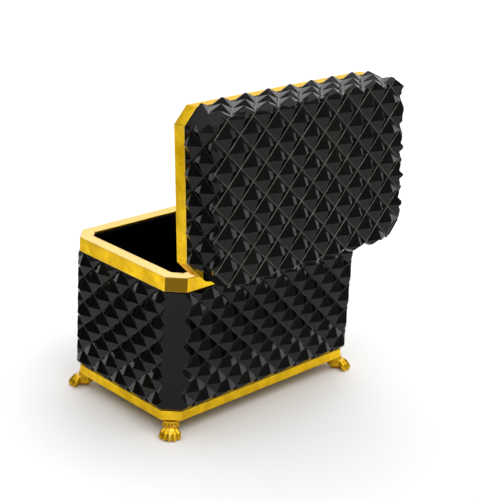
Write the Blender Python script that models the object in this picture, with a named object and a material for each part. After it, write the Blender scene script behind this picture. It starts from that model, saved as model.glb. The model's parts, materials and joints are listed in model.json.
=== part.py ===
"""Diamond-cut black glass casket with gilt metal mounts, standing open on its hinge stop.

Metres, +Z up.  The casket stands on its paw feet at z = 0 with its length along X.  The hinge runs
along the long back side, towards +Y, and the open casket's box is centred over the origin.  Lid pieces
are drawn closed, in the casket's own coordinates, and an empty on the hinge axis swings them open.
"""
import math

import bmesh
import bpy
from mathutils import Matrix, Vector

MM = 0.001

# Driving dimensions: plan and heights
RIM_HALF_LENGTH = 82.5 * MM
RIM_HALF_DEPTH = 50.0 * MM
RIM_CANT = 9.6 * MM
RIM_HEIGHT = 9.2 * MM
RIM_FLANGE = 8.4 * MM
GLASS_SHOW = 79.3 * MM
BAND_HEIGHT = 6.7 * MM
BAND_INSET = 1.2 * MM
BAND_LEDGE = 9.0 * MM
FOOT_HEIGHT = 10.6 * MM

# Driving dimensions: sheet metal, bedding and clearances
SHEET = 1.2 * MM
EDGE = 0.4 * MM
BEDDING = 0.8 * MM
GAP = 0.3 * MM

# Driving dimensions: glass walls and floor
WALL_INSET = 8.7 * MM
WALL_DRAFT = 0.6 * MM
FLOOR_THICK = 7.0 * MM
FLOOR_FILLET = 2.5 * MM
GLASS_EASE = 0.8 * MM
LID_CORE = 30.0 * MM
LID_TOP_WALL = 8.0 * MM

# Driving dimensions: diamond cut, as half the diamonds' width and height
# A swell is how far the valleys or the plain corners stand proud of the rim's plan
# A drop or a row gives the height of one row of points under or over the rim's top
# A lean is a side's swell and its draft, which is how far it leans in about that row
BODY_CUT = (8.95 * MM, 8.42 * MM)
BODY_CUT_HEIGHT = 3.5 * MM
BODY_CUT_DROP = 50.5 * MM
BODY_LEAN = (-0.1 * MM, 0.0)
BODY_CORNER_SWELL = 0.8 * MM
LID_CUT_HEIGHT = 4.2 * MM
LID_CORNER_SWELL = -0.4 * MM
LID_TOP_CUT = (9.92 * MM, 9.56 * MM)
LID_TOP_POINT = -6.5 * MM
LID_DRAFT = math.radians(8.0)
LID_SIDE_CUT = (9.17 * MM, 8.8 * MM)
LID_BACK_LEAN = (1.0 * MM, 0.0)
LID_FRONT_LEAN = (-0.9 * MM, LID_DRAFT)
LID_SIDE_ROW = 10.5 * MM
LID_END_CUT = (8.56 * MM, 8.4 * MM)
LID_END_LEAN = (-3.2 * MM, LID_DRAFT)
LID_END_ROW = 21.1 * MM
LID_END_POINT = -4.5 * MM
BLANK_MARGIN = 8.0 * MM

# Driving dimensions: hinge
OPEN_ANGLE = math.radians(85.0)
HINGE_BACK = 2.0 * MM
HINGE_RISE = 1.3 * MM
HINGE_LENGTH = 60.0 * MM
KNUCKLES = 5
KNUCKLE_RADIUS = 1.6 * MM
KNUCKLE_STEP = 0.12 * MM
PIN_RADIUS = 0.75 * MM
PIN_CLEARANCE = 0.15 * MM
PIN_OVERHANG = 0.8 * MM
LEAF = 0.9 * MM
LEAF_REACH = 7.2 * MM
STOP_NOSE = 4.2 * MM
RIVETS = 3
RIVET_SPACING = 24.0 * MM
RIVET_RADIUS = 0.7 * MM
RIVET_HEAD = 1.5 * MM

# Driving dimensions: paw foot, from the middle of the band's canted face outwards
PAW_TOES = 5
TOE_FAN = math.radians(40.0)
TOE_SPREAD = 7.6 * MM
TOE_REACH = 6.4 * MM
TOE_RADII = (3.3 * MM, 1.9 * MM, 2.9 * MM)
TOE_HEIGHT = 2.2 * MM
TOE_SPLAY = 0.6
PAW_SETBACK = 1.2 * MM
HEEL_SETBACK = 2.9 * MM
HEEL_RADII = (4.0 * MM, 4.4 * MM, 4.0 * MM)
HEEL_HEIGHT = 2.6 * MM
INSTEP_RADII = (6.0 * MM, 5.2 * MM, 4.4 * MM)
INSTEP_HEIGHT = 3.6 * MM
ANKLE_SETBACK = 2.8 * MM
ANKLE_RADII = (4.2 * MM, 4.6 * MM)
COLLAR_RADIUS = 5.0 * MM
COLLAR_HEIGHT = 1.4 * MM
STEM_SETBACK = 4.6 * MM
STEM_RADIUS = 1.6 * MM

# Heights and places worked out from these
BAND_BOTTOM = FOOT_HEIGHT
BAND_TOP = BAND_BOTTOM + BAND_HEIGHT
RIM_BOTTOM = BAND_TOP + GLASS_SHOW
RIM_TOP = RIM_BOTTOM + RIM_HEIGHT
BED_STEP = GAP + BEDDING + GAP
LID_BOTTOM = RIM_TOP + GAP
LID_FRAME_TOP = RIM_TOP + RIM_HEIGHT
CORNER_SUM = RIM_HALF_LENGTH + RIM_HALF_DEPTH - RIM_CANT
HINGE_POINT = Vector((0.0, RIM_HALF_DEPTH + HINGE_BACK, RIM_TOP + HINGE_RISE))
KNUCKLE_PITCH = HINGE_LENGTH / KNUCKLES
BOX_CENTRE_Y = 15.9 * MM

GILT = ("gilt_metal", (0.83, 0.55, 0.11, 1.0), 0.28, 1.0)
GLASS = ("black_glass", (0.006, 0.006, 0.007, 1.0), 0.05, 0.0)
PLASTER = ("bedding_plaster", (0.72, 0.69, 0.62, 1.0), 0.85, 0.0)


# Scene helpers

def clear_scene():
    for obj in list(bpy.data.objects):
        bpy.data.objects.remove(obj, do_unlink=True)


def new_collection(name):
    collection = bpy.data.collections.new(name)
    bpy.context.scene.collection.children.link(collection)
    return collection


def new_material(name, colour, roughness, metallic):
    material = bpy.data.materials.new(name)
    material.use_nodes = True
    shader = material.node_tree.nodes["Principled BSDF"]
    shader.inputs["Base Color"].default_value = colour
    shader.inputs["Roughness"].default_value = roughness
    shader.inputs["Metallic"].default_value = metallic
    material.diffuse_color = colour
    return material


class Shop:
    """Collections, materials and parents that the pieces are made into."""

    def __init__(self):
        self.parts = new_collection("opaline_glass_casket")
        self.cutters = new_collection("cutters")
        self.materials = {
            kind[0]: new_material(*kind) for kind in (GILT, GLASS, PLASTER)
        }
        self.root = self.empty("casket", (0.0, -BOX_CENTRE_Y, 0.0), None)
        self.hinge = self.empty("lid_hinge", HINGE_POINT, self.root)
        self.hinge.rotation_euler.x = -OPEN_ANGLE

    def empty(self, name, location, parent):
        empty = bpy.data.objects.new(name, None)
        empty.location = location
        empty.parent = parent
        self.parts.objects.link(empty)
        return empty

    def body(self, obj):
        """Hang an object on the standing casket."""
        obj.parent = self.root
        return obj

    def lid(self, obj):
        """Hang an object drawn in the closed position on the lid's hinge."""
        obj.parent = self.hinge
        obj.location = obj.location - HINGE_POINT
        return obj

    def piece(self, name, bm, kind):
        obj = mesh_object(name, bm, self.parts)
        obj.data.materials.append(self.materials[kind[0]])
        return obj

    def cutter(self, name, bm):
        obj = mesh_object(name, bm, self.cutters)
        obj.hide_render = True
        obj.display_type = "WIRE"
        return obj


def mesh_object(name, bm, collection):
    bmesh.ops.recalc_face_normals(bm, faces=bm.faces)
    mesh = bpy.data.meshes.new(name)
    bm.to_mesh(mesh)
    bm.free()
    obj = bpy.data.objects.new(name, mesh)
    collection.objects.link(obj)
    return obj


def boolean(obj, other, operation):
    modifier = obj.modifiers.new(other.name, "BOOLEAN")
    modifier.operation = operation
    modifier.object = other
    modifier.solver = "EXACT"


# Basic shapes

def canted_plan(inset):
    """Half length, half depth and corner sum of the rim's plan, drawn in evenly by inset."""
    return RIM_HALF_LENGTH - inset, RIM_HALF_DEPTH - inset, CORNER_SUM - math.sqrt(2.0) * inset


def canted_loop(bm, plan, z):
    """Eight corner vertices of a canted plan at height z."""
    half_x, half_y, corner_sum = plan
    long_x = corner_sum - half_y
    long_y = corner_sum - half_x
    quarter = [(half_x, long_y), (long_x, half_y)]
    corners = quarter + [(-x, y) for x, y in reversed(quarter)]
    corners += [(-x, -y) for x, y in corners]
    return [bm.verts.new((x, y, z)) for x, y in corners]


def loft(loops, bm, ring):
    """Join loops of vertices with faces, into a ring section or a capped solid."""
    pairs = list(zip(loops, loops[1:]))
    if ring:
        pairs.append((loops[-1], loops[0]))
    for lower, upper in pairs:
        for i, vertex in enumerate(lower):
            j = (i + 1) % len(lower)
            bm.faces.new((vertex, lower[j], upper[j], upper[i]))
    if not ring:
        bm.faces.new(loops[0])
        bm.faces.new(loops[-1])


def moulding(section):
    """Ring with a mitred section, given as (inset, height) points, round the canted plan."""
    bm = bmesh.new()
    loft([canted_loop(bm, canted_plan(inset), z) for inset, z in section], bm, True)
    return bm


def canted_solid(sections):
    """Solid through canted plans, given as (plan, height) pairs from the bottom up."""
    bm = bmesh.new()
    loft([canted_loop(bm, plan, z) for plan, z in sections], bm, False)
    return bm


def box(low, high):
    bm = bmesh.new()
    low, high = Vector(low), Vector(high)
    place = Matrix.Translation((low + high) / 2) @ Matrix.Diagonal((*(high - low), 1.0))
    bmesh.ops.create_cube(bm, size=1.0, matrix=place)
    return bm


def rod(start, end, radius, sides, end_radius=None):
    """Cylinder or cone from start to end, with a flat towards the ground on an X axis."""
    bm = bmesh.new()
    start, end = Vector(start), Vector(end)
    turn = (end - start).to_track_quat("Z", "Y").to_matrix().to_4x4()
    place = Matrix.Translation((start + end) / 2) @ turn
    bmesh.ops.create_cone(
        bm, cap_ends=True, segments=sides, radius1=radius,
        radius2=radius if end_radius is None else end_radius,
        depth=(end - start).length, matrix=place)
    return bm


def ball(centre, radii, sides, rings, turn=0.0):
    bm = bmesh.new()
    place = Matrix.Translation(centre) @ Matrix.Rotation(turn, 4, "Z") @ Matrix.Diagonal((*radii, 1.0))
    bmesh.ops.create_uvsphere(bm, u_segments=sides, v_segments=rings, radius=1.0, matrix=place)
    return bm


# Diamond-cut glass

def diamond_slab(cut, height, reach):
    """Thick slab whose +Z face carries diamond points, one at its centre, with valleys on z = 0.

    cut is half a diamond's width along X and Y, and reach the half sizes that the points must cover.
    """
    cells = math.ceil(reach[0] / cut[0] + reach[1] / cut[1])
    cells += cells % 2 == 0
    bm = bmesh.new()
    bmesh.ops.create_grid(bm, x_segments=cells, y_segments=cells, size=cells / 2)
    bmesh.ops.rotate(bm, verts=bm.verts, matrix=Matrix.Rotation(math.pi / 4, 3, "Z"))
    stretch = math.sqrt(2.0)
    bmesh.ops.scale(bm, verts=bm.verts, vec=(stretch * cut[0], stretch * cut[1], 1.0))
    bmesh.ops.poke(bm, faces=bm.faces[:], offset=height)
    skirt = bmesh.ops.extrude_edge_only(bm, edges=[e for e in bm.edges if e.is_boundary])
    for element in skirt["geom"]:
        if isinstance(element, bmesh.types.BMVert):
            element.co.z = -3.0 * RIM_HALF_LENGTH
    bmesh.ops.edgeloop_fill(bm, edges=[e for e in bm.edges if e.is_boundary])
    return bm


def cut_long_sides(shop, glass, hang, cut, height, row, reach_z, leans):
    """Cut diamond points over a blank's back and front, with one at the middle of the row."""
    reach = (RIM_HALF_LENGTH + BLANK_MARGIN, reach_z)
    for side, sign, (swell, draft) in zip(("back", "front"), (1.0, -1.0), leans):
        slab = shop.cutter(f"{glass.name}_{side}_cut", diamond_slab(cut, height, reach))
        slab.location = (0.0, sign * (RIM_HALF_DEPTH + swell), row)
        slab.rotation_euler.x = -sign * (math.pi / 2 - draft)
        boolean(glass, hang(slab), "INTERSECT")


def cut_ends(shop, glass, hang, cut, height, row, reach_z, leans, point=0.0):
    """Cut diamond points over a blank's two ends, with one at the place point along the row."""
    reach = (reach_z, RIM_HALF_DEPTH + BLANK_MARGIN + abs(point))
    for side, sign, (swell, draft) in zip(("right", "left"), (1.0, -1.0), leans):
        slab = shop.cutter(f"{glass.name}_{side}_cut", diamond_slab(cut[::-1], height, reach))
        slab.location = (sign * (RIM_HALF_LENGTH + swell), point, row)
        slab.rotation_euler.y = sign * (math.pi / 2 - draft)
        boolean(glass, hang(slab), "INTERSECT")


def blank_plan(corner_swell):
    """Plan of the uncut glass, with room for the points and its plain canted corners."""
    return (
        RIM_HALF_LENGTH + BLANK_MARGIN,
        RIM_HALF_DEPTH + BLANK_MARGIN,
        CORNER_SUM + math.sqrt(2.0) * corner_swell,
    )


def eased_edge(mount_inset, z, up):
    """Sections of the body's blank from the edge of a mount at z out to its full plan."""
    step = mount_inset + GLASS_EASE
    return [
        (canted_plan(mount_inset), z),
        (canted_plan(-BODY_CORNER_SWELL), z + up * step),
        (blank_plan(BODY_CORNER_SWELL), z + up * (step + BLANK_MARGIN)),
    ]


def make_body_glass(shop):
    foot = canted_plan(BAND_INSET + SHEET + 2 * GAP)
    neck = canted_plan(SHEET + BED_STEP)
    bottom = BAND_BOTTOM + SHEET + BED_STEP
    low, high = BAND_TOP + GAP, RIM_BOTTOM - GAP
    sections = [(foot, bottom), (foot, low), *eased_edge(BAND_INSET, low, 1.0)]
    sections += reversed(eased_edge(0.0, high, -1.0))
    sections += [(neck, high), (neck, RIM_TOP - SHEET - BED_STEP)]
    glass = shop.body(shop.piece("body_glass", canted_solid(sections), GLASS))
    row = RIM_TOP - BODY_CUT_DROP
    reach_z = GLASS_SHOW / 2 + BLANK_MARGIN
    leans = (BODY_LEAN, BODY_LEAN)
    cut_long_sides(shop, glass, shop.body, BODY_CUT, BODY_CUT_HEIGHT, row, reach_z, leans)
    cut_ends(shop, glass, shop.body, BODY_CUT, BODY_CUT_HEIGHT, row, reach_z, leans)
    floor = bottom + FLOOR_THICK
    hollow = canted_solid([
        (canted_plan(WALL_INSET + WALL_DRAFT + FLOOR_FILLET), floor),
        (canted_plan(WALL_INSET + WALL_DRAFT), floor + FLOOR_FILLET),
        (canted_plan(WALL_INSET), RIM_TOP),
    ])
    boolean(glass, shop.body(shop.cutter("body_hollow", hollow)), "DIFFERENCE")


def make_lid_glass(shop):
    neck = canted_plan(SHEET + BED_STEP)
    bottom = LID_BOTTOM + SHEET + BED_STEP
    low = LID_FRAME_TOP + GAP
    core_top = RIM_TOP + LID_CORE
    blank = blank_plan(LID_CORNER_SWELL)
    sections = [(neck, bottom), (neck, low), (blank, low), (blank, core_top + BLANK_MARGIN)]
    glass = shop.lid(shop.piece("lid_glass", canted_solid(sections), GLASS))
    side_row, end_row = RIM_TOP + LID_SIDE_ROW, RIM_TOP + LID_END_ROW
    height = LID_CUT_HEIGHT
    sides, ends = (LID_BACK_LEAN, LID_FRONT_LEAN), (LID_END_LEAN, LID_END_LEAN)
    cut_long_sides(shop, glass, shop.lid, LID_SIDE_CUT, height, side_row, LID_CORE, sides)
    cut_ends(shop, glass, shop.lid, LID_END_CUT, height, end_row, LID_CORE, ends, LID_END_POINT)
    reach = (RIM_HALF_LENGTH + BLANK_MARGIN, RIM_HALF_DEPTH + BLANK_MARGIN + abs(LID_TOP_POINT))
    top = shop.cutter("lid_glass_top_cut", diamond_slab(LID_TOP_CUT, height, reach))
    top.location = (0.0, LID_TOP_POINT, core_top)
    boolean(glass, shop.lid(top), "INTERSECT")
    ceiling = core_top - LID_TOP_WALL
    hollow = canted_solid([
        (canted_plan(WALL_INSET), RIM_TOP),
        (canted_plan(WALL_INSET + WALL_DRAFT), ceiling - FLOOR_FILLET),
        (canted_plan(WALL_INSET + WALL_DRAFT + FLOOR_FILLET), ceiling),
    ])
    boolean(glass, shop.lid(shop.cutter("lid_hollow", hollow)), "DIFFERENCE")


# Gilt mounts and their bedding

def angle_section(face, heel, flange):
    """Angle section with eased edges: a skirt up from heel to face, and a flange at face."""
    up = 1.0 if face > heel else -1.0
    return [
        (0.0, heel),
        (0.0, face - up * EDGE),
        (EDGE, face),
        (flange - EDGE, face),
        (flange, face - up * EDGE),
        (flange, face - up * SHEET),
        (SHEET, face - up * SHEET),
        (SHEET, heel),
    ]


def bedding_section(face, heel):
    """Bedding inside an angle section, between its skirt and flange and the glass."""
    up = 1.0 if face > heel else -1.0
    outer, crown = SHEET + GAP, face - up * (SHEET + GAP)
    inner, seat = outer + BEDDING, crown - up * BEDDING
    return [
        (outer, heel + up * EDGE),
        (outer, crown),
        (RIM_FLANGE - EDGE, crown),
        (RIM_FLANGE - EDGE, seat),
        (inner, seat),
        (inner, heel + up * EDGE),
    ]


def make_mounts(shop):
    rim = angle_section(RIM_TOP, RIM_BOTTOM, RIM_FLANGE)
    shop.body(shop.piece("body_rim", moulding(rim), GILT))
    shop.body(shop.piece("rim_bedding", moulding(bedding_section(RIM_TOP, RIM_BOTTOM)), PLASTER))
    frame = angle_section(LID_BOTTOM, LID_FRAME_TOP, RIM_FLANGE)
    shop.lid(shop.piece("lid_frame", moulding(frame), GILT))
    shop.lid(shop.piece("lid_bedding", moulding(bedding_section(LID_BOTTOM, LID_FRAME_TOP)), PLASTER))


def make_base(shop):
    section = angle_section(BAND_BOTTOM, BAND_TOP, BAND_LEDGE)
    band = [(BAND_INSET + inset, z) for inset, z in section]
    shop.body(shop.piece("base_band", moulding(band), GILT))
    seat = BAND_BOTTOM + SHEET + GAP
    outer, inner = BAND_INSET + SHEET + 2 * GAP, BAND_INSET + BAND_LEDGE - EDGE
    ring = [(outer, seat), (outer, seat + BEDDING), (inner, seat + BEDDING), (inner, seat)]
    shop.body(shop.piece("base_bedding", moulding(ring), PLASTER))


# Paw feet

def stem_rod(low, high, radius):
    """Upright rod on the axis of a paw's stem."""
    return rod((-STEM_SETBACK, 0.0, low), (-STEM_SETBACK, 0.0, high), radius, 10)


def paw_shapes():
    """Rounded forms that a paw is joined from: heel, instep, ankle, collar, stem and toes."""
    top = FOOT_HEIGHT - GAP
    yield "heel", ball((-HEEL_SETBACK, 0.0, HEEL_HEIGHT), HEEL_RADII, 12, 8)
    yield "instep", ball((0.0, 0.0, INSTEP_HEIGHT), INSTEP_RADII, 14, 8)
    ankle_base = (-ANKLE_SETBACK / 2, 0.0, INSTEP_HEIGHT)
    ankle_top = (-ANKLE_SETBACK, 0.0, top - COLLAR_HEIGHT / 2)
    yield "ankle", rod(ankle_base, ankle_top, ANKLE_RADII[0], 12, ANKLE_RADII[1])
    collar_base = (-ANKLE_SETBACK, 0.0, top - COLLAR_HEIGHT)
    yield "collar", rod(collar_base, (-ANKLE_SETBACK, 0.0, top), COLLAR_RADIUS, 12)
    yield "stem", stem_rod(top - COLLAR_HEIGHT / 2, BAND_BOTTOM + SHEET, STEM_RADIUS)
    for toe in range(PAW_TOES):
        turn = TOE_FAN * (2 * toe / (PAW_TOES - 1) - 1)
        centre = (TOE_REACH * math.cos(turn) - PAW_SETBACK, TOE_SPREAD * math.sin(turn), TOE_HEIGHT)
        yield f"toe_{toe}", ball(centre, TOE_RADII, 10, 8, TOE_SPLAY * turn)


def paw_mesh(shop):
    """One paw on the ground, toes towards +X, as a plain mesh that the four feet share."""
    shapes = list(paw_shapes())
    paw = shop.cutter("paw_" + shapes[0][0], shapes[0][1])
    for name, bm in shapes[1:]:
        boolean(paw, shop.cutter("paw_" + name, bm), "UNION")
    reach = 2 * FOOT_HEIGHT
    ground = box((-reach, -reach, -reach), (reach, reach, 0.0))
    boolean(paw, shop.cutter("paw_ground", ground), "DIFFERENCE")
    evaluated = paw.evaluated_get(bpy.context.evaluated_depsgraph_get())
    mesh = bpy.data.meshes.new_from_object(evaluated)
    mesh.materials.clear()
    mesh.materials.append(shop.materials[GILT[0]])
    mesh.shade_smooth()
    mesh.set_sharp_from_angle(angle=math.radians(40.0))
    return mesh


def make_feet(shop):
    mesh = paw_mesh(shop)
    half_x, half_y, corner_sum = canted_plan(BAND_INSET)
    corner_x = (half_x + corner_sum - half_y) / 2
    corner_y = (half_y + corner_sum - half_x) / 2
    band = bpy.data.objects["base_band"]
    for end, sx in (("right", 1.0), ("left", -1.0)):
        for side, sy in (("front", -1.0), ("back", 1.0)):
            foot = shop.body(bpy.data.objects.new(f"foot_{side}_{end}", mesh))
            shop.parts.objects.link(foot)
            foot.location = (sx * corner_x, sy * corner_y, 0.0)
            foot.rotation_euler.z = math.atan2(sy, sx)
            bm = stem_rod(BAND_BOTTOM - SHEET, BAND_BOTTOM + 2 * SHEET, STEM_RADIUS + GAP)
            hole = shop.cutter(f"stem_hole_{side}_{end}", bm)
            hole.location = foot.location
            hole.rotation_euler.z = foot.rotation_euler.z
            boolean(band, shop.body(hole), "DIFFERENCE")


# Hinge

def knuckle_span(index, step):
    """Ends of a knuckle along X, each form on it a small step shorter than the one that carries it."""
    start = -HINGE_LENGTH / 2 + index * KNUCKLE_PITCH
    ease = GAP / 2 + step * KNUCKLE_STEP
    return start + ease, start + KNUCKLE_PITCH - ease


def leaf_plate(up, knuckles):
    """Leaf plate with a tab up to the axis at each of its knuckles.

    up is +1 for the lid's leaf, which stands above the axis, and -1 for the body's, which hangs below.
    """
    near = HINGE_POINT.z + up * (KNUCKLE_RADIUS + 2 * GAP)
    far = HINGE_POINT.z + up * LEAF_REACH
    half = HINGE_LENGTH / 2
    outline = [(half, far), (-half, far)]
    for index in knuckles:
        low, high = knuckle_span(index, 1)
        outline += [(low, near), (low, HINGE_POINT.z), (high, HINGE_POINT.z), (high, near)]
    if 0 not in knuckles:
        outline.insert(2, (-half, near))
        outline.append((half, near))
    outline[0] = (max(x for x, _ in outline), far)
    outline[1] = (min(x for x, _ in outline), far)
    bm = bmesh.new()
    front = RIM_HALF_DEPTH + GAP
    face = bm.faces.new([bm.verts.new((x, front, z)) for x, z in outline])
    back = bmesh.ops.extrude_face_region(bm, geom=[face])["geom"]
    verts = [element for element in back if isinstance(element, bmesh.types.BMVert)]
    bmesh.ops.translate(bm, verts=verts, vec=(0.0, LEAF, 0.0))
    return bm


def barrel(index):
    low, high = knuckle_span(index, 0)
    axis_y, axis_z = HINGE_POINT.y, HINGE_POINT.z
    return rod((low, axis_y, axis_z), (high, axis_y, axis_z), KNUCKLE_RADIUS, 16)


def stop_nose(index):
    """Nose on a lid knuckle that lands on the body's leaf when the lid stands open."""
    low, high = knuckle_span(index, 2)
    face = -(HINGE_BACK - GAP - LEAF) + GAP
    bm = box((low, face, -STOP_NOSE), (high, face + KNUCKLE_RADIUS, 0.0))
    bmesh.ops.rotate(bm, verts=bm.verts, matrix=Matrix.Rotation(OPEN_ANGLE, 3, "X"))
    bmesh.ops.translate(bm, verts=bm.verts, vec=HINGE_POINT)
    return bm


def make_leaf(shop, name, hang, up, knuckles, noses):
    leaf = hang(shop.piece(name, leaf_plate(up, knuckles), GILT))
    extras = [(f"barrel_{index}", barrel(index)) for index in knuckles]
    extras += [(f"nose_{index}", stop_nose(index)) for index in noses]
    for part, bm in extras:
        boolean(leaf, hang(shop.cutter(f"{name}_{part}", bm)), "UNION")
    half = HINGE_LENGTH
    bore = rod((-half, HINGE_POINT.y, HINGE_POINT.z), (half, HINGE_POINT.y, HINGE_POINT.z),
               PIN_RADIUS + PIN_CLEARANCE, 16)
    boolean(leaf, hang(shop.cutter(f"{name}_bore", bore)), "DIFFERENCE")
    return leaf


def make_rivets(shop, label, hang, height, leaf, mount):
    """Dome-headed rivets through a leaf and the skirt behind it, at one height."""
    face = RIM_HALF_DEPTH + GAP + LEAF + GAP
    inside = RIM_HALF_DEPTH - SHEET
    for index in range(RIVETS):
        x = (index - (RIVETS - 1) / 2) * RIVET_SPACING
        shank = rod((x, inside, height), (x, face + RIVET_HEAD / 4, height), RIVET_RADIUS, 10)
        rivet = hang(shop.piece(f"hinge_rivet_{label}_{index + 1}", shank, GILT))
        head = ball((x, face, height), (RIVET_HEAD, RIVET_HEAD * 0.6, RIVET_HEAD), 10, 6)
        bmesh.ops.bisect_plane(
            head, geom=head.verts[:] + head.edges[:] + head.faces[:],
            plane_co=(x, face, height), plane_no=(0.0, -1.0, 0.0), clear_outer=True)
        bmesh.ops.edgeloop_fill(head, edges=[e for e in head.edges if e.is_boundary])
        boolean(rivet, hang(shop.cutter(f"{rivet.name}_head", head)), "UNION")
        hole = rod((x, inside - GAP, height), (x, face + GAP, height), RIVET_RADIUS + GAP, 10)
        drill = hang(shop.cutter(f"{rivet.name}_hole", hole))
        boolean(leaf, drill, "DIFFERENCE")
        boolean(mount, drill, "DIFFERENCE")


def make_hinge(shop):
    body_knuckles = range(0, KNUCKLES, 2)
    lid_knuckles = range(1, KNUCKLES, 2)
    body_leaf = make_leaf(shop, "hinge_leaf_body", shop.body, -1.0, body_knuckles, ())
    lid_leaf = make_leaf(shop, "hinge_leaf_lid", shop.lid, 1.0, lid_knuckles, lid_knuckles)
    half = HINGE_LENGTH / 2 + PIN_OVERHANG
    pin = rod((-half, HINGE_POINT.y, HINGE_POINT.z), (half, HINGE_POINT.y, HINGE_POINT.z), PIN_RADIUS, 16)
    shop.body(shop.piece("hinge_pin", pin, GILT))
    row = 0.62 * LEAF_REACH
    body_rim, lid_frame = bpy.data.objects["body_rim"], bpy.data.objects["lid_frame"]
    make_rivets(shop, "body", shop.body, HINGE_POINT.z - row, body_leaf, body_rim)
    make_rivets(shop, "lid", shop.lid, HINGE_POINT.z + row, lid_leaf, lid_frame)


def main():
    clear_scene()
    shop = Shop()
    make_body_glass(shop)
    make_lid_glass(shop)
    make_mounts(shop)
    make_base(shop)
    make_feet(shop)
    make_hinge(shop)


main()
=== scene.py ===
"""Looks of the diamond-cut black glass casket, in a plain white studio.

Metres, +Z up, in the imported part's own frame.  The CAD nodes keep their shapes and get eased edges and
procedural materials.  Cast paw feet are modelled here and stand for the plain CAD feet.
"""

import json
import math

import bmesh
import bpy
from mathutils import Matrix, Vector

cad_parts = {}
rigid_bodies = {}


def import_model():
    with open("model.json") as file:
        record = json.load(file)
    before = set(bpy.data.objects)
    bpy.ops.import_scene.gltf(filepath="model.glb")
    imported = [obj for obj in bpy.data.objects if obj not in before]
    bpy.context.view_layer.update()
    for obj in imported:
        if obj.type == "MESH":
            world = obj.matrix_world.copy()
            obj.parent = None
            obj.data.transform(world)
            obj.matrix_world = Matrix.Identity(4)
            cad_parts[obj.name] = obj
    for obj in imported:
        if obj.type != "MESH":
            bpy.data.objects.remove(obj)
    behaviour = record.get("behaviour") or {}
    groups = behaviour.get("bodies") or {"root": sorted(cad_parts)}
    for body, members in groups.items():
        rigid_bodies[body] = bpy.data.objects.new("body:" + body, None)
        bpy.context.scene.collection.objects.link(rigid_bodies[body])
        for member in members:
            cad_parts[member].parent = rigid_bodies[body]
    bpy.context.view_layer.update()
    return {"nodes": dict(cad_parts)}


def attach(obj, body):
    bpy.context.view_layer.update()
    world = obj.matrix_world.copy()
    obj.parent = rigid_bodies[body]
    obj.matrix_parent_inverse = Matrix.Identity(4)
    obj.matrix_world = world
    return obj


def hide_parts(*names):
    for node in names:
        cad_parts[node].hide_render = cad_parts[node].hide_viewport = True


MM = 0.001

# Camera of the photograph, found from the edges of the rim and the lid's frame
CAMERA_AZIMUTH = math.radians(134.77)
CAMERA_ELEVATION = math.radians(21.33)
CAMERA_ROLL = math.radians(3.36)
CAMERA_DISTANCE = 852.67 * MM
CAMERA_SLIDE = (12.88 * MM, -14.06 * MM)
CAMERA_TARGET = Vector((0.0, -15.9 * MM, 105.8 * MM))
CAMERA_LENS = 95.28

# Studio
FLOOR_REACH = 30.0
FLOOR_DROP = 0.05 * MM
FLOOR_COLOUR = 0.96
SUN_STRENGTH = 0.65
SUN_ANGLE = math.radians(45.0)
SUN_DIRECTION = Vector((-0.12, 0.40, 1.0))
SKY_TOP = 2.05
SKY_ZENITH = 0.70
SKY_BACK = 1.15
SKY_SKIRTING = 1.25
SKIRTING = (0.06, 0.10)
FRONT_SPAN = (-0.8, 0.8)
BACK_SPAN = (0.55, 0.90)
ZENITH_SPAN = (0.86, 0.96)
CEILING_SPAN = (0.50, 0.70)
SKY_FRONT_LEFT = 0.18
SKY_FRONT_RIGHT = 0.44
BACK_BOX_PLACE = (-1.05, -1.1, 0.85)
BACK_BOX_TARGET = (0.0, 0.0, 0.1)
BACK_BOX_SIZE = (1.1, 0.35)
BACK_BOX_RADIANCE = 1.4
CARD_COLOUR = 0.02
CARD_HEIGHT = 0.06
CARDS = (
    ("right_card", (-0.43, -0.02), (-0.43, 0.30)),
    ("left_card", (0.0, -0.30), (0.55, -0.30)),
)

# Glass
GLASS_IOR = 1.30
GLASS_TINTS = [
    (0.30, (0.0006, 0.0006, 0.0008)),
    (0.52, (0.0010, 0.0010, 0.0010)),
    (0.72, (0.0040, 0.0034, 0.0016)),
]
# Painted sheen of the lid's grooves, standing in for the light they reflect: the grooves' plain black, the sheen's
# colours, and its share in the grooves of the other slant.
GROOVE_BLACK = (0.0010, 0.0010, 0.0010)
GROOVE_PAINTED_SHEEN = [
    (0.34, (0.060, 0.058, 0.042)),
    (0.50, (0.120, 0.116, 0.086)),
    (0.66, (0.210, 0.204, 0.160)),
]
SHEEN_IN_CROSS_GROOVES = 0.22
LID_LEAN = math.sin(math.radians(5.0))

# Gold of the mounts
TARNISH = (0.30, 0.150, 0.003)
# Painted sheen on the upward faces of the gold, and its share on the rim and on the lid.
TOP_PAINTED_SHEEN = (0.67, 0.525, 0.35)
TOP_SHEEN_ON_RIM, TOP_SHEEN_ON_LID = 0.75, 0.18
LID_HEIGHTS = (115.0 * MM, 125.0 * MM)
# Painted dark reflection on the cants from the rim's upper part up, and the heights where it starts.
CANT_PAINTED_REFLECTION = (0.19, 0.100, 0.002)
CANT_REFLECTION_HEIGHTS = (93.0 * MM, 98.0 * MM)
# Painted shade, with some tarnish, in the cast relief's crevices.
CREVICE_SHADE_AND_TARNISH = (0.16, 0.075, 0.002)
EDGE_TINT = (1.0, 0.80, 0.25, 1.0)
# Pale gold of the random flecks, and the painted highlight along edges and crests.
PALE_FLECK_AND_HIGHLIGHT = (0.98, 0.80, 0.36)
EDGE_REACH = 0.6 * MM
COAT_WEIGHT = 0.3
COAT_ROUGHNESS = 0.12
COAT_IOR = 1.28
SHEET_DEEP, SHEET_PALE, SHEET_GRAIN = (0.68, 0.395, 0.006), (0.93, 0.600, 0.014), 0.25
CAST_DEEP, CAST_PALE, CAST_GRAIN = (0.58, 0.33, 0.005), (0.82, 0.50, 0.010), 0.4

# Bedding
PUTTY = [(0.3, (0.020, 0.017, 0.013)), (0.7, (0.045, 0.038, 0.028))]

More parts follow.
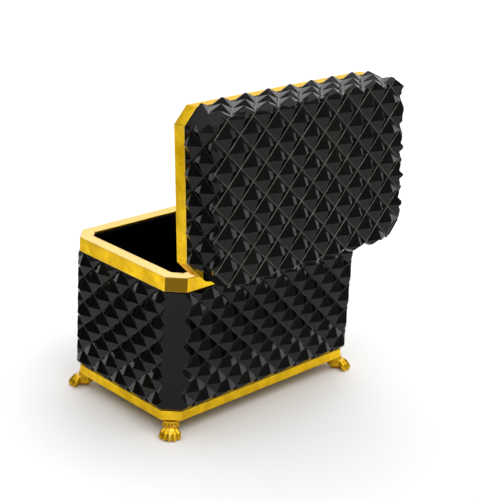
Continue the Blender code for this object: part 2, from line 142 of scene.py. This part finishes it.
# Eased edges: widths in the grooves and on the ridges that bend more than an angle
WELD_REACH = 0.01 * MM
GLASS_BEND = math.radians(14.0)
GLASS_RIDGE = 0.16 * MM
BODY_GROOVE = 0.10 * MM
LID_GROOVE = 0.38 * MM
SHEET_BEND = math.radians(25.0)
SHEET_GROOVE = 0.15 * MM
SHEET_RIDGE = 0.30 * MM

# Paw feet, in millimetres unless a unit is given
BOX_CENTRE_Y = 15.9 * MM
PAW_PLACE = (76.85 * MM, 44.35 * MM)
PAW_VOXEL = 0.26 * MM
PAW_TOP = 10.3
ANKLE_PLACE = -3.6
STEM_PLACE = -4.6
STEM_REACH = 1.5
FUR_TUFTS = 9
FUR_FAN = math.radians(105.0)
TOES = 5
TOE_FAN = math.radians(52.0)


def clear_scene():
    for obj in list(bpy.data.objects):
        bpy.data.objects.remove(obj, do_unlink=True)


# Camera and studio

def make_camera():
    """Camera at the photograph's place, looking past the middle of the rim."""
    az, el = CAMERA_AZIMUTH, CAMERA_ELEVATION
    back = Vector((math.sin(az) * math.cos(el), -math.cos(az) * math.cos(el), math.sin(el)))
    level = Vector((math.cos(az), math.sin(az), 0.0))
    upright = back.cross(level)
    right = level * math.cos(CAMERA_ROLL) + upright * math.sin(CAMERA_ROLL)
    up = upright * math.cos(CAMERA_ROLL) - level * math.sin(CAMERA_ROLL)
    data = bpy.data.cameras.new("camera")
    data.lens = CAMERA_LENS
    data.sensor_width = 36.0
    data.clip_end = 100.0
    camera = bpy.data.objects.new("camera", data)
    bpy.context.scene.collection.objects.link(camera)
    place = CAMERA_TARGET + back * CAMERA_DISTANCE + right * CAMERA_SLIDE[0] + up * CAMERA_SLIDE[1]
    turn = Matrix((right, up, back)).transposed().to_4x4()
    camera.matrix_world = Matrix.Translation(place) @ turn
    bpy.context.scene.camera = camera


class Graph:
    """Short way to write a node tree."""

    def __init__(self, tree):
        self.tree = tree
        tree.nodes.clear()

    def node(self, kind, **settings):
        node = self.tree.nodes.new(kind)
        for name, value in settings.items():
            setattr(node, name, value)
        return node

    def link(self, source, target):
        self.tree.links.new(source, target)

    def math(self, operation, a, b=None):
        """Math node whose inputs are sockets or numbers."""
        node = self.node("ShaderNodeMath", operation=operation)
        for socket, value in zip(node.inputs, (a, b)):
            if isinstance(value, bpy.types.NodeSocket):
                self.link(value, socket)
            elif value is not None:
                socket.default_value = value
        return node.outputs[0]

    def ramp(self, source, stops):
        """Colour ramp, its stops given as (position, colour)."""
        node = self.node("ShaderNodeValToRGB")
        elements = node.color_ramp.elements
        while len(elements) < len(stops):
            elements.new(0.5)
        for element, (position, colour) in zip(elements, stops):
            element.position = position
            element.color = (*colour, 1.0)
        self.link(source, node.inputs[0])
        return node.outputs[0]

    def spread(self, source, low, high, new_low=0.0, new_high=1.0, smooth=False):
        """Map a range of values onto another one."""
        node = self.node("ShaderNodeMapRange", interpolation_type="SMOOTHSTEP" if smooth else "LINEAR")
        self.link(source, node.inputs[0])
        for socket, value in zip(node.inputs[1:5], (low, high, new_low, new_high)):
            if isinstance(value, bpy.types.NodeSocket):
                self.link(value, socket)
            else:
                socket.default_value = value
        return node.outputs[0]

    def noise(self, scale, detail=3.0, roughness=0.5, distortion=0.0):
        """Noise over the object's own coordinates, with its scale in waves to the metre."""
        place = self.node("ShaderNodeTexCoord").outputs["Object"]
        node = self.node("ShaderNodeTexNoise")
        node.inputs["Scale"].default_value = scale
        node.inputs["Detail"].default_value = detail
        node.inputs["Roughness"].default_value = roughness
        node.inputs["Distortion"].default_value = distortion
        self.link(place, node.inputs["Vector"])
        return node.outputs["Fac"]

    def blend(self, amount, first, second):
        """Mix of two colours, each a socket or a colour, by an amount from 0 to 1."""
        node = self.node("ShaderNodeMix", data_type="RGBA")
        self.link(amount, node.inputs["Factor"])
        for socket, value in zip([i for i in node.inputs if i.type == "RGBA"], (first, second)):
            if isinstance(value, bpy.types.NodeSocket):
                self.link(value, socket)
            else:
                socket.default_value = (*value, 1.0)
        return node.outputs[2]

    def near_edge(self, reach):
        """Amount from 0 on a flat face to 1 on a sharp edge, within a reach in metres."""
        rounded = self.node("ShaderNodeBevel", samples=6)
        rounded.inputs["Radius"].default_value = reach
        compare = self.node("ShaderNodeVectorMath", operation="DOT_PRODUCT")
        self.link(rounded.outputs[0], compare.inputs[0])
        self.link(self.node("ShaderNodeNewGeometry").outputs["True Normal"], compare.inputs[1])
        return self.spread(compare.outputs["Value"], 0.99, 0.86, smooth=True)

    def bump(self, height, strength, distance, normal=None):
        node = self.node("ShaderNodeBump")
        node.inputs["Strength"].default_value = strength
        node.inputs["Distance"].default_value = distance
        self.link(height, node.inputs["Height"])
        if normal:
            self.link(normal, node.inputs["Normal"])
        return node.outputs[0]


def make_world():
    """Bright ceiling round a dim zenith, white wall behind the casket and a dim room behind the camera.

    A white strip runs round the room along the floor's far edge.
    """
    world = bpy.data.worlds.new("studio")
    bpy.context.scene.world = world
    world.use_nodes = True
    g = Graph(world.node_tree)
    ray = g.node("ShaderNodeSeparateXYZ")
    g.link(g.node("ShaderNodeTexCoord").outputs["Generated"], ray.inputs[0])
    x, y, z = ray.outputs
    half = math.sqrt(0.5)
    behind = g.math("MULTIPLY", g.math("ADD", x, y), -half)
    right = g.math("MULTIPLY", g.math("SUBTRACT", y, x), half)
    front = g.spread(right, *FRONT_SPAN, SKY_FRONT_LEFT, SKY_FRONT_RIGHT, smooth=True)
    wall = g.spread(behind, *BACK_SPAN, front, SKY_BACK, smooth=True)
    top = g.spread(z, *ZENITH_SPAN, SKY_TOP, SKY_ZENITH, smooth=True)
    sky = g.spread(z, *CEILING_SPAN, wall, top, smooth=True)
    sky = g.spread(z, *SKIRTING, SKY_SKIRTING, sky, smooth=True)
    background = g.node("ShaderNodeBackground")
    g.link(sky, background.inputs["Strength"])
    out = g.node("ShaderNodeOutputWorld")
    g.link(background.outputs[0], out.inputs["Surface"])


def area_lamp(name, place, target, size, radiance):
    """Soft box whose face has the given radiance."""
    data = bpy.data.lights.new(name, "AREA")
    data.shape = "RECTANGLE"
    data.size, data.size_y = size
    data.energy = radiance * math.pi * size[0] * size[1]
    lamp = bpy.data.objects.new(name, data)
    bpy.context.scene.collection.objects.link(lamp)
    lamp.location = place
    lamp.rotation_mode = "QUATERNION"
    lamp.rotation_quaternion = (Vector(target) - Vector(place)).to_track_quat("-Z", "Y")
    lamp.visible_camera = False


def make_lamps():
    data = bpy.data.lights.new("sun", "SUN")
    data.energy = SUN_STRENGTH
    data.angle = SUN_ANGLE
    sun = bpy.data.objects.new("sun", data)
    bpy.context.scene.collection.objects.link(sun)
    sun.rotation_mode = "QUATERNION"
    sun.rotation_quaternion = SUN_DIRECTION.to_track_quat("Z", "Y")
    area_lamp("back_box", BACK_BOX_PLACE, BACK_BOX_TARGET, BACK_BOX_SIZE, BACK_BOX_RADIANCE)


def matt_material(name, grey):
    """Plain matt surface of the studio."""
    material = bpy.data.materials.new(name)
    material.use_nodes = True
    g = Graph(material.node_tree)
    diffuse = g.node("ShaderNodeBsdfDiffuse")
    diffuse.inputs["Color"].default_value = (grey, grey, grey, 1.0)
    out = g.node("ShaderNodeOutputMaterial")
    g.link(diffuse.outputs[0], out.inputs["Surface"])
    return material


def make_cards():
    """Low black cards beside the picture that only reflections see, which keep the far floor out of the glass."""
    material = matt_material("black_card", CARD_COLOUR)
    for name, start, end in CARDS:
        corners = [(*start, 0.0), (*end, 0.0), (*end, CARD_HEIGHT), (*start, CARD_HEIGHT)]
        mesh = bpy.data.meshes.new(name)
        mesh.from_pydata(corners, [], [(0, 1, 2, 3)])
        mesh.materials.append(material)
        card = bpy.data.objects.new(name, mesh)
        bpy.context.scene.collection.objects.link(card)
        card.visible_camera = False
        card.visible_diffuse = False
        card.visible_shadow = False


def make_floor():
    bm = bmesh.new()
    bmesh.ops.create_grid(bm, x_segments=1, y_segments=1, size=FLOOR_REACH)
    mesh = bpy.data.meshes.new("floor")
    bm.to_mesh(mesh)
    bm.free()
    floor = bpy.data.objects.new("floor", mesh)
    bpy.context.scene.collection.objects.link(floor)
    floor.location.z = -FLOOR_DROP
    mesh.materials.append(matt_material("studio_floor", FLOOR_COLOUR))


# Materials

def new_material(name):
    """Material with a Principled shader on its output, as its graph and that shader."""
    material = bpy.data.materials.new(name)
    material.use_nodes = True
    g = Graph(material.node_tree)
    shader = g.node("ShaderNodeBsdfPrincipled")
    out = g.node("ShaderNodeOutputMaterial")
    g.link(shader.outputs[0], out.inputs["Surface"])
    return material, g, shader


def glass_material():
    """Polished black glass: slightly wavy faces, faint smears and a breath of olive in the black."""
    material, g, shader = new_material("black_glass_cut")
    g.link(g.ramp(g.noise(38.0, 2.0), GLASS_TINTS), shader.inputs["Base Color"])
    smears = g.spread(g.noise(210.0, 4.0, 0.6), 0.35, 0.75, 0.035, 0.085)
    g.link(smears, shader.inputs["Roughness"])
    shader.inputs["IOR"].default_value = GLASS_IOR
    waves = g.bump(g.noise(120.0, 2.0), 0.10, 0.0006)
    g.link(waves, shader.inputs["Normal"])
    return material


def groove_material():
    """Floor of the cut between the lid's diamonds: dull, with a painted sheen that stands in for the light the
    grooves reflect, fullest in the grooves of one slant.
    """
    material, g, shader = new_material("black_glass_groove")
    streaks = g.noise(150.0, 4.0, 0.6)
    # Painted sheen on the groove floors that face out of the lid, fullest in the grooves of one slant.
    groove_sheen = g.ramp(streaks, GROOVE_PAINTED_SHEEN)
    facing = g.node("ShaderNodeSeparateXYZ")
    g.link(g.node("ShaderNodeTexCoord").outputs["Normal"], facing.inputs[0])
    outward = g.spread(facing.outputs[1], 0.62, 0.80, smooth=True)
    upward = g.math("SUBTRACT", facing.outputs[2], LID_LEAN)
    slant = g.math("MULTIPLY", facing.outputs[0], upward)
    across = g.spread(slant, -0.02, 0.03, SHEEN_IN_CROSS_GROOVES, 1.0, smooth=True)
    groove_sheen = g.blend(g.math("MULTIPLY", outward, across), GROOVE_BLACK, groove_sheen)
    g.link(groove_sheen, shader.inputs["Base Color"])
    g.link(g.spread(streaks, 0.3, 0.7, 0.10, 0.30), shader.inputs["Roughness"])
    shader.inputs["IOR"].default_value = GLASS_IOR
    g.link(g.bump(g.noise(900.0, 3.0), 0.15, 0.0001), shader.inputs["Normal"])
    return material


def gilt_material(name, deep, pale, grain, relief=False):
    """Gilt metal with a satin polish: cloudy colour, bright flecks, tarnish spots and a fine grain.

    Its upward faces carry a painted sheen, strong on the rim and faint on the lid, and the cants from the rim's
    upper part up a painted dark reflection.
    Sheet carries a painted highlight along its edges, and a cast relief painted shade with some tarnish in its
    crevices and a painted highlight on its crests.
    """
    material, g, shader = new_material(name)
    clouds = g.noise(85.0, 5.0, 0.6, distortion=0.4)
    colour = g.ramp(clouds, [(0.36, deep), (0.64, pale)])
    flecks = g.spread(g.noise(520.0, 4.0, 0.7, distortion=0.6), 0.58, 0.72, 0.0, 0.30, smooth=True)
    colour = g.blend(flecks, colour, PALE_FLECK_AND_HIGHLIGHT)
    spots = g.spread(g.noise(330.0, 6.0, 0.7), 0.58, 0.74, 0.0, 0.40, smooth=True)
    colour = g.blend(spots, colour, TARNISH)
    facing = g.node("ShaderNodeSeparateXYZ")
    g.link(g.node("ShaderNodeTexCoord").outputs["Normal"], facing.inputs[0])
    place = g.node("ShaderNodeSeparateXYZ")
    g.link(g.node("ShaderNodeTexCoord").outputs["Object"], place.inputs[0])
    # Painted sheen on the upward faces, strong on the rim and faint on the lid.
    top_sheen_share = g.spread(place.outputs[2], *LID_HEIGHTS, TOP_SHEEN_ON_RIM, TOP_SHEEN_ON_LID, smooth=True)
    top_sheen = g.spread(facing.outputs[2], 0.80, 0.97, 0.0, top_sheen_share, smooth=True)
    colour = g.blend(top_sheen, colour, TOP_PAINTED_SHEEN)
    # Painted dark reflection on the cants from the rim's upper part up.
    cant = g.math("ABSOLUTE", g.math("MULTIPLY", facing.outputs[0], facing.outputs[1]))
    high = g.spread(place.outputs[2], *CANT_REFLECTION_HEIGHTS, smooth=True)
    cant_reflection = g.math("MULTIPLY", g.spread(cant, 0.30, 0.48), high)
    colour = g.blend(cant_reflection, colour, CANT_PAINTED_REFLECTION)
    if relief:
        # Painted shade, with some tarnish, in the crevices, and a painted highlight on the crests.
        form = g.node("ShaderNodeNewGeometry").outputs["Pointiness"]
        crevice_shade = g.spread(form, 0.505, 0.45, 0.0, 0.95, smooth=True)
        colour = g.blend(crevice_shade, colour, CREVICE_SHADE_AND_TARNISH)
        edge = g.spread(form, 0.53, 0.60, 0.0, 0.24, smooth=True)
    else:
        edge = g.near_edge(EDGE_REACH)
    # Painted highlight along the sheet's edges and the cast's crests, broken into patches.
    patches = g.spread(g.noise(240.0, 4.0, 0.7), 0.36, 0.60, 0.35, 0.95)
    colour = g.blend(g.math("MULTIPLY", edge, patches), colour, PALE_FLECK_AND_HIGHLIGHT)
    g.link(colour, shader.inputs["Base Color"])
    shader.inputs["Metallic"].default_value = 1.0
    shader.inputs["Specular Tint"].default_value = EDGE_TINT
    g.link(g.spread(g.noise(240.0, 2.0), 0.3, 0.7, 0.30, 0.37), shader.inputs["Roughness"])
    soft = g.bump(g.noise(160.0, 3.0), 0.18, 0.0004)
    fine = g.bump(g.noise(2600.0, 2.0, 0.7), grain, 0.00004, soft)
    g.link(fine, shader.inputs["Normal"])
    shader.inputs["Coat Weight"].default_value = COAT_WEIGHT
    shader.inputs["Coat Roughness"].default_value = COAT_ROUGHNESS
    shader.inputs["Coat IOR"].default_value = COAT_IOR
    return material


def plaster_material():
    """Dark putty that beds the glass in its mounts."""
    material, g, shader = new_material("bedding_plaster_cast")
    g.link(g.ramp(g.noise(300.0, 5.0), PUTTY), shader.inputs["Base Color"])
    shader.inputs["Roughness"].default_value = 0.9
    g.link(g.bump(g.noise(1500.0, 4.0), 0.4, 0.0001), shader.inputs["Normal"])
    return material


# Paw feet, from the middle of the band's canted face outwards, with the toes along +X

def limb(bm, points):
    """Chain of balls through (x, y, z, radius) points in millimetres, close enough to read as one limb."""
    for (x0, y0, z0, r0), (x1, y1, z1, r1) in zip(points, points[1:]):
        run = math.dist((x0, y0, z0), (x1, y1, z1))
        steps = max(1, round(run / (0.35 * min(r0, r1))))
        for i in range(steps + 1):
            t = i / steps
            centre = Vector((x0 + (x1 - x0) * t, y0 + (y1 - y0) * t, z0 + (z1 - z0) * t)) * MM
            radius = (r0 + (r1 - r0) * t) * MM
            place = Matrix.Translation(centre) @ Matrix.Scale(radius, 4)
            bmesh.ops.create_icosphere(bm, subdivisions=2, radius=1.0, matrix=place)


def drum(bm, low, high, centre_x, radii):
    """Upright round form between two heights, in millimetres, from one radius to another."""
    place = Matrix.Translation(Vector((centre_x, 0.0, (low + high) / 2)) * MM)
    bmesh.ops.create_cone(
        bm, cap_ends=True, segments=32, radius1=radii[0] * MM, radius2=radii[1] * MM,
        depth=(high - low) * MM, matrix=place)


def paw_forms():
    """Forms of one paw: heel, instep, ankle, tufts of fur over the instep, stem and clawed toes."""
    bm = bmesh.new()
    limb(bm, [(-3.4, 0.0, 3.3, 3.5), (-1.0, 0.0, 4.2, 4.3), (1.6, 0.0, 4.0, 4.0), (4.0, 0.0, 2.9, 2.7)])
    drum(bm, 3.0, PAW_TOP, ANKLE_PLACE, (4.5, 4.7))
    drum(bm, PAW_TOP - 1.1, PAW_TOP, ANKLE_PLACE, (5.0, 5.0))
    drum(bm, PAW_TOP - 0.5, PAW_TOP + STEM_REACH, STEM_PLACE, (1.6, 1.6))
    for i in range(FUR_TUFTS):
        turn = FUR_FAN * (2 * i / (FUR_TUFTS - 1) - 1)
        dx, dy = math.cos(turn), math.sin(turn)
        root = (ANKLE_PLACE + 4.3 * dx, 4.3 * dy, 8.6, 0.75)
        tip = (ANKLE_PLACE + 4.9 * dx, 4.9 * dy, 5.9 - 0.5 * (i % 2), 0.35)
        limb(bm, [root, tip])
    for i in range(TOES):
        side = 2 * i / (TOES - 1) - 1
        turn = TOE_FAN * side
        dx, dy = math.cos(turn), math.sin(turn)
        knuckle = (-0.6 + 3.4 * dx, 4.2 * dy, 5.2, 1.75)
        pad = (-0.8 + 5.7 * dx, 5.9 * dy, 3.6, 1.95)
        tip = (-0.8 + 7.4 * dx, 6.7 * dy, 1.75, 1.70)
        limb(bm, [(-1.4 + 1.6 * dx, 3.4 * dy, 7.0, 1.1), knuckle, pad, tip])
        claw = (-0.8 + 9.0 * dx, 7.6 * dy, 0.80, 0.40)
        limb(bm, [(-0.8 + 7.9 * dx, 7.0 * dy, 2.2, 0.9), claw])
    return bm


def paw_mesh(material):
    """One cast paw: its forms run together, softened, and ground flat on the sole."""
    bm = paw_forms()
    rough = bpy.data.meshes.new("paw_forms")
    bm.to_mesh(rough)
    bm.free()
    maker = bpy.data.objects.new("paw_maker", rough)
    bpy.context.scene.collection.objects.link(maker)
    remesh = maker.modifiers.new("join", "REMESH")
    remesh.mode = "VOXEL"
    remesh.voxel_size = PAW_VOXEL
    soften = maker.modifiers.new("soften", "SMOOTH")
    soften.factor = 0.5
    soften.iterations = 3
    mesh = bpy.data.meshes.new_from_object(maker.evaluated_get(bpy.context.evaluated_depsgraph_get()))
    bpy.data.objects.remove(maker, do_unlink=True)
    for vertex in mesh.vertices:
        vertex.co.z = max(vertex.co.z, 0.0)
    mesh.name = "cast_paw"
    mesh.shade_smooth()
    mesh.materials.clear()
    mesh.materials.append(material)
    return mesh


def make_paws(material):
    cast = paw_mesh(material)
    for end, sx in (("right", 1.0), ("left", -1.0)):
        for side, sy in (("front", -1.0), ("back", 1.0)):
            mesh = cast.copy()
            mesh.transform(Matrix.Rotation(math.atan2(sy, sx), 4, "Z"))
            paw = bpy.data.objects.new(f"paw_{side}_{end}", mesh)
            bpy.context.scene.collection.objects.link(paw)
            paw.location = (sx * PAW_PLACE[0], sy * PAW_PLACE[1] - BOX_CENTRE_Y, 0.0)
            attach(paw, "casket")
            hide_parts(f"foot_{side}_{end}")


# CAD nodes

def edge_weights(angle):
    """Modifier tree that marks a node's grooves and ridges, where they bend more than an angle, for the bevels."""
    tree = bpy.data.node_groups.new("edge_weights", "GeometryNodeTree")
    for way in ("INPUT", "OUTPUT"):
        tree.interface.new_socket("Geometry", in_out=way, socket_type="NodeSocketGeometry")
    g = Graph(tree)
    bend = g.node("GeometryNodeInputMeshEdgeAngle").outputs["Signed Angle"]
    geometry = g.node("NodeGroupInput").outputs[0]
    for name, mark in (
        ("groove", g.math("LESS_THAN", bend, -angle)),
        ("ridge", g.math("GREATER_THAN", bend, angle)),
    ):
        store = g.node("GeometryNodeStoreNamedAttribute", data_type="FLOAT", domain="EDGE")
        store.inputs["Name"].default_value = name
        g.link(geometry, store.inputs["Geometry"])
        g.link(mark, store.inputs["Value"])
        geometry = store.outputs["Geometry"]
    g.link(geometry, g.node("NodeGroupOutput").inputs[0])
    return tree


def ease_edges(obj, angle, groove, ridge, groove_slot=-1):
    """Round a CAD node's grooves and ridges by small widths, the grooves in a material slot of their own when one
    is given.
    """
    weld = obj.modifiers.new("weld", "WELD")
    weld.merge_threshold = WELD_REACH
    weights = obj.modifiers.new("weights", "NODES")
    weights.node_group = edge_weights(angle)
    for name, width, slot in (("groove", groove, groove_slot), ("ridge", ridge, -1)):
        bevel = obj.modifiers.new(name, "BEVEL")
        bevel.width = width
        bevel.segments = 2
        bevel.limit_method = "WEIGHT"
        bevel.edge_weight = name
        bevel.miter_outer = "MITER_SHARP"
        bevel.use_clamp_overlap = False
        bevel.material = slot
    even = obj.modifiers.new("even", "WEIGHTED_NORMAL")
    even.weight = 100


def dress(frame):
    """Give every CAD node but the feet its material, ease the edges that show, and set the paws over the plain
    feet.
    """
    nodes = frame["nodes"]
    glass = glass_material()
    gilt = gilt_material("gilt_sheet", SHEET_DEEP, SHEET_PALE, SHEET_GRAIN)
    casting = gilt_material("gilt_cast", CAST_DEEP, CAST_PALE, CAST_GRAIN, relief=True)
    plaster = plaster_material()
    for name, obj in nodes.items():
        if name.endswith("glass"):
            material = glass
        elif name.endswith("bedding"):
            material = plaster
        elif name.startswith("foot"):
            continue
        else:
            material = gilt
        obj.data.materials.clear()
        obj.data.materials.append(material)
    nodes["lid_glass"].data.materials.append(groove_material())
    ease_edges(nodes["body_glass"], GLASS_BEND, BODY_GROOVE, GLASS_RIDGE)
    ease_edges(nodes["lid_glass"], GLASS_BEND, LID_GROOVE, GLASS_RIDGE, groove_slot=1)
    for name in ("body_rim", "lid_frame", "base_band"):
        ease_edges(nodes[name], SHEET_BEND, SHEET_GROOVE, SHEET_RIDGE)
    make_paws(casting)


def main():
    clear_scene()
    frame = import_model()
    bpy.context.scene.view_settings.view_transform = "Standard"
    make_camera()
    make_world()
    make_lamps()
    make_floor()
    make_cards()
    dress(frame)


main()
